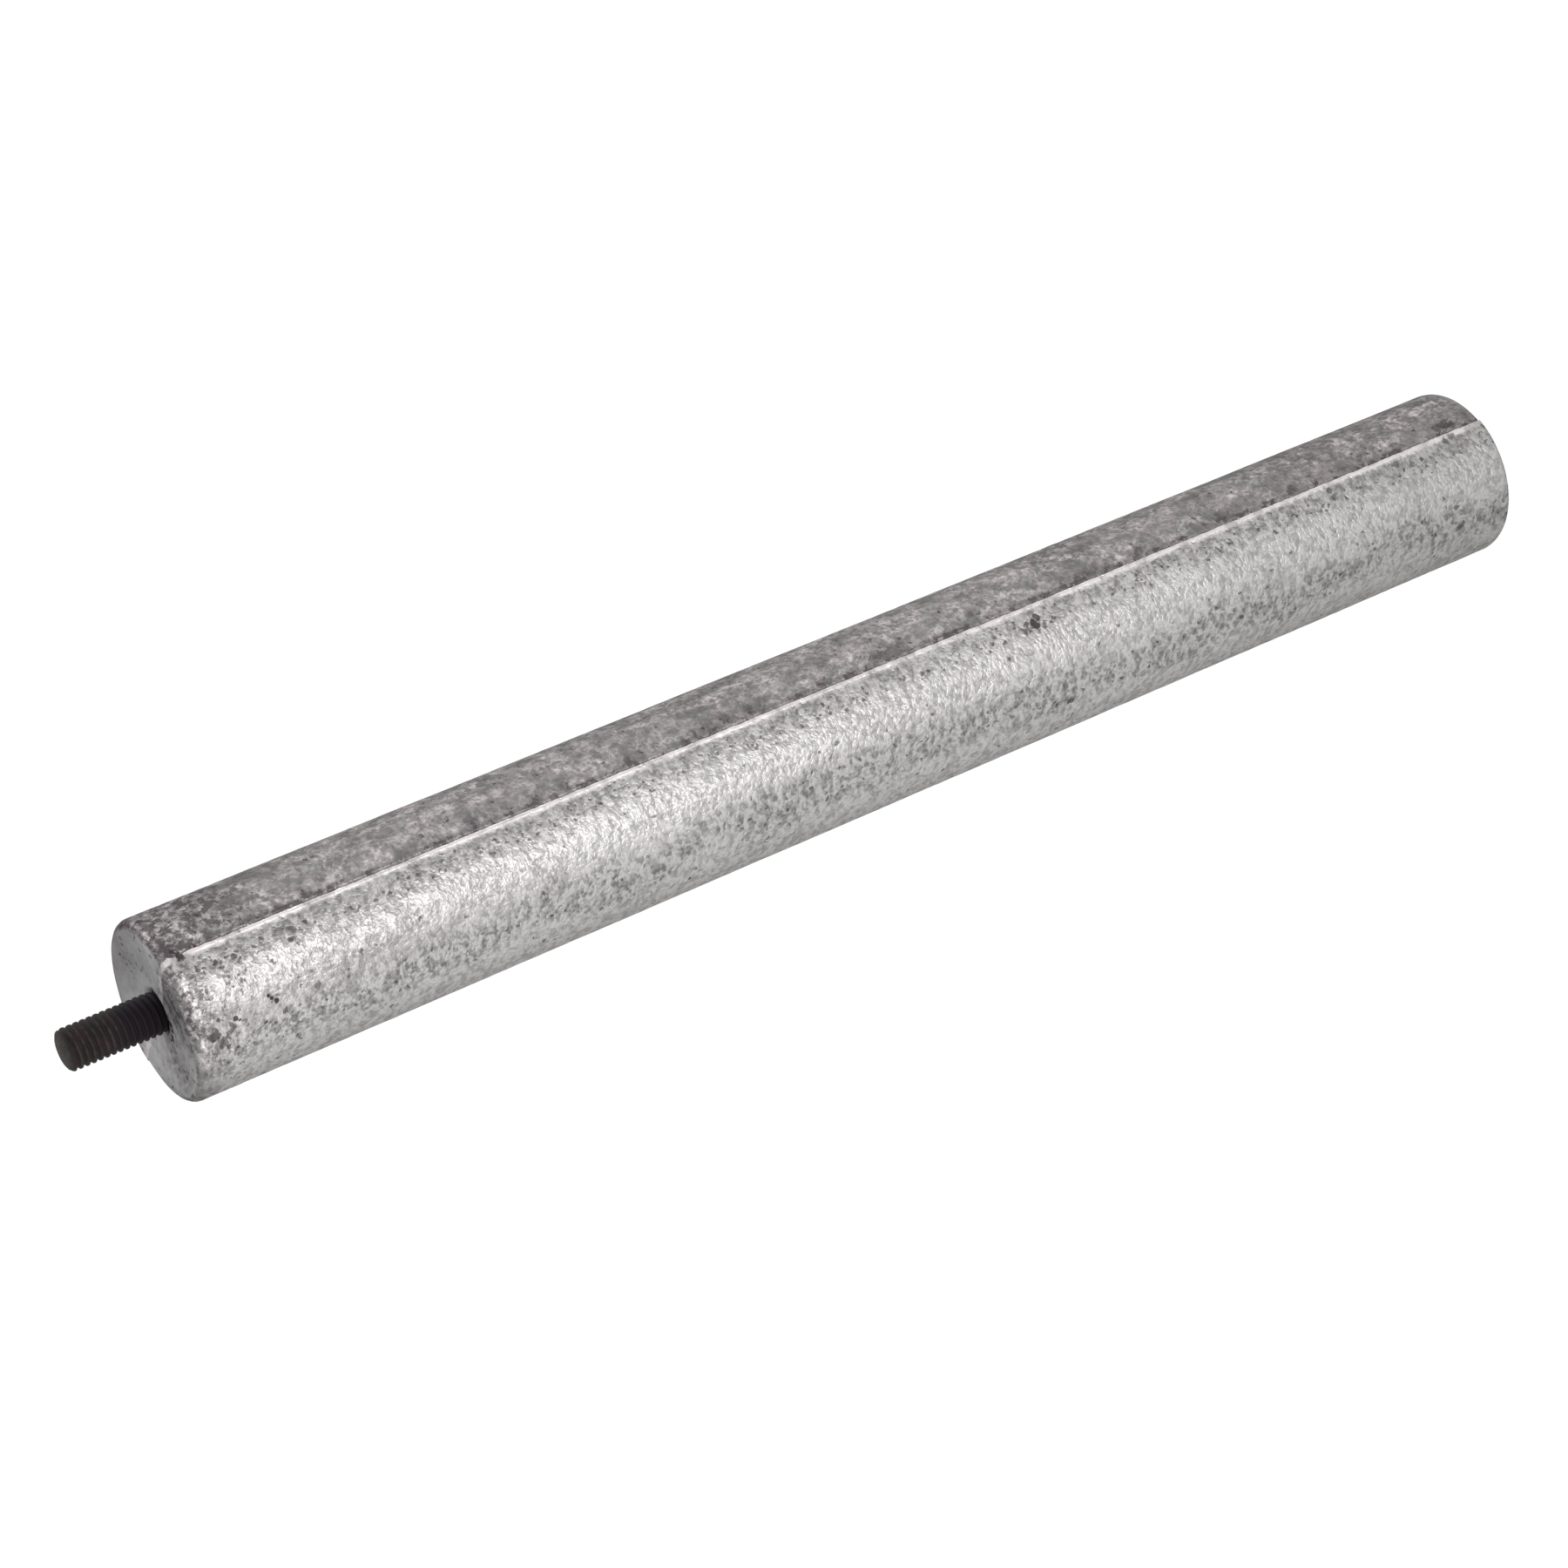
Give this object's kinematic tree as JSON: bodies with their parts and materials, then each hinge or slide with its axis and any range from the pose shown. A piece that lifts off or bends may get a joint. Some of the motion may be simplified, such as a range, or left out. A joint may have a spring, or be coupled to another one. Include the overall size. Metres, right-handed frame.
{
  "type": "water heater anode rod",
  "caption": "Cast magnesium sacrificial rod with a threaded steel stud at one end, for a small storage water heater.",
  "frame": {"origin": "middle of the plain end's face, on which the rod stands", "axes": "+Z along the rod towards the stud, +X towards one of the two parting lines, +Y across the parting plane"},
  "size_m": [0.0226, 0.022, 0.201],
  "materials": {
    "cast_magnesium": "as cast, light grey, finely wrinkled, half matt",
    "blackened_steel": "black oxide, matt"
  },
  "bodies": {
    "root": {"anode_rod": "cast_magnesium", "threaded_stud": "blackened_steel"}
  },
  "joints": []
}
